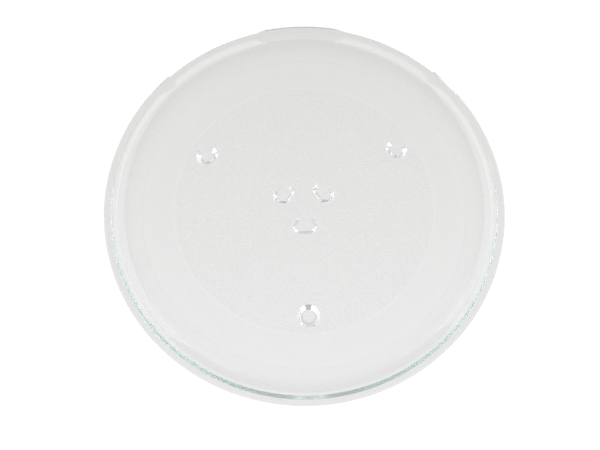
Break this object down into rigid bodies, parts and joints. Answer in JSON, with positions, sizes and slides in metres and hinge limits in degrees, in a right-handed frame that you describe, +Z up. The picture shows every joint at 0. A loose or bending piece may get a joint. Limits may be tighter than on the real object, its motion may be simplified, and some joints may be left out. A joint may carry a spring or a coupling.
{
  "type": "microwave turntable plate",
  "caption": "Shallow round glass dish with a coved wall and flat lip, feet and central drive lugs underneath, carried and turned by a microwave oven's roller ring and coupler.",
  "frame": {"origin": "on the turning axis, at the level of the feet's flat tips", "axes": "+Z up along the turning axis, out of the dish; -Y towards the user, through one foot and one lug; +X to the right"},
  "size_m": [0.288, 0.288, 0.0201],
  "materials": {
    "clear_glass": "clear pressed glass, fine stipple under the middle and the cove"
  },
  "bodies": {
    "root": {"turntable_plate": "clear_glass"}
  },
  "joints": []
}
